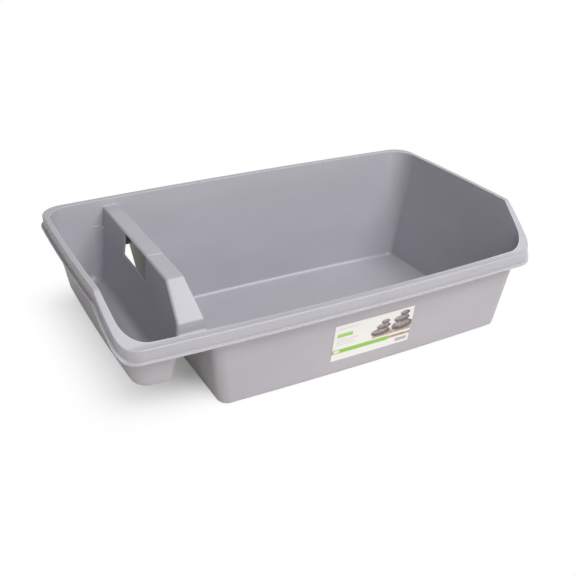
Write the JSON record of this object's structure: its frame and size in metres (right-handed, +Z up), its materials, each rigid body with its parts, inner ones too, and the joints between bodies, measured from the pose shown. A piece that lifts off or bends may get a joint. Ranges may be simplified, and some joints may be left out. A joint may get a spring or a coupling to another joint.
{
  "type": "litter pan with storage tub",
  "caption": "Moulded plastic pet litter pan: a deep tub with a low front, and a smaller raised storage tub at one end behind a hollow divider with a hand hole.",
  "frame": {"origin": "on the ground under the middle of the rim's outer box, seen from above", "axes": "+X along the length away from the storage tub, -Y towards the low front, +Z up"},
  "size_m": [0.6544, 0.3724, 0.187],
  "materials": {
    "pan_plastic": "pale grey moulded polypropylene, satin outside and fine matt inside",
    "label_film": "white printed film, satin"
  },
  "bodies": {
    "root": {"pan": "pan_plastic", "label": "label_film"}
  },
  "joints": []
}
